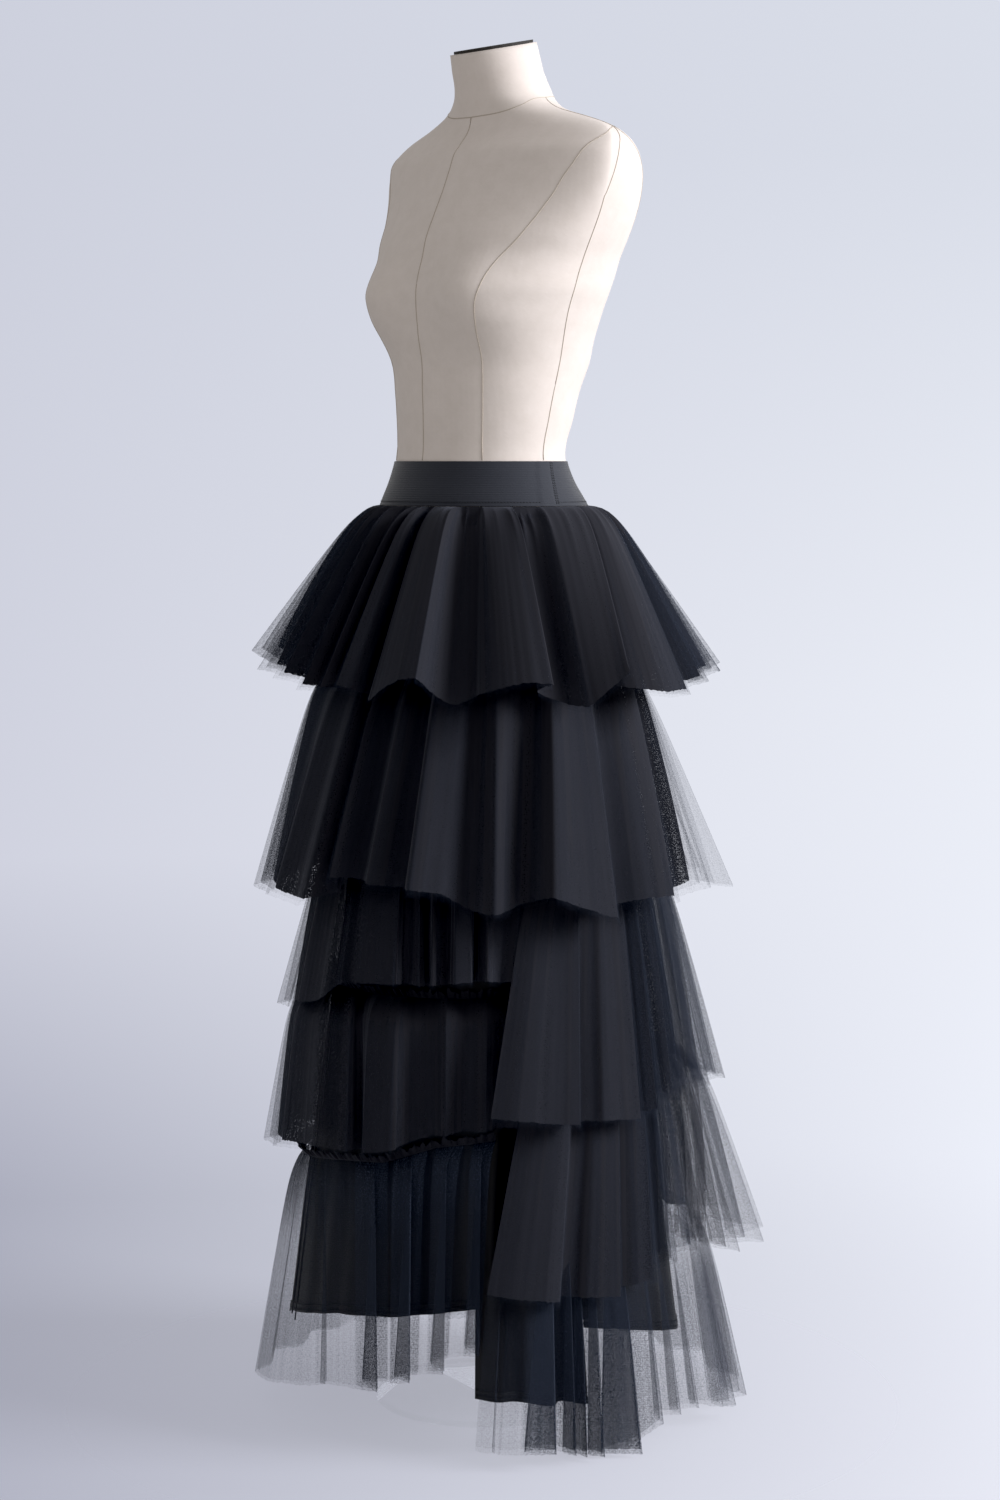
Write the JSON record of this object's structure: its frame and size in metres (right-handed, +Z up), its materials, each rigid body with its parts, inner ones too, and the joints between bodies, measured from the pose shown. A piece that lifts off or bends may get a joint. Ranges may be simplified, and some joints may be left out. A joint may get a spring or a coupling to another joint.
{
  "type": "tiered tulle skirt on a dress form",
  "caption": "Long tiered tulle skirt with an elastic waistband and a satin lining, open from the knee at the left front, on a limbless dress form with a pole stand.",
  "frame": {"origin": "on the floor, at the pole's axis", "axes": "+Z up; the form faces -Y; +X towards the wearer's left"},
  "size_m": [0.5635, 0.5573, 1.5733],
  "materials": {
    "linen_cover": "matt fine linen, pulled tight",
    "neck_cap": "matt dark board",
    "base_glass": "clear tempered glass with a polished edge",
    "stand_finish": "satin pale grey powder coat",
    "woven_elastic": "matt ribbed woven elastic",
    "lining_satin": "smooth black lining with a low sheen",
    "nylon_tulle": "sheer black net with a soft grey-blue sheen"
  },
  "bodies": {
    "root": {"form_torso": "linen_cover", "form_neck_cap": "neck_cap", "stand_base": "base_glass", "stand_pole": "stand_finish", "stand_collar": "stand_finish", "waistband": "woven_elastic", "lining_front": "lining_satin", "lining_left": "lining_satin", "lining_back": "lining_satin", "tier_1": "nylon_tulle", "tier_2": "nylon_tulle", "tier_3_front": "nylon_tulle", "tier_3_back": "nylon_tulle", "tier_4_front": "nylon_tulle", "tier_4_back": "nylon_tulle", "tier_5_front": "nylon_tulle", "tier_5_back": "nylon_tulle"}
  },
  "joints": []
}
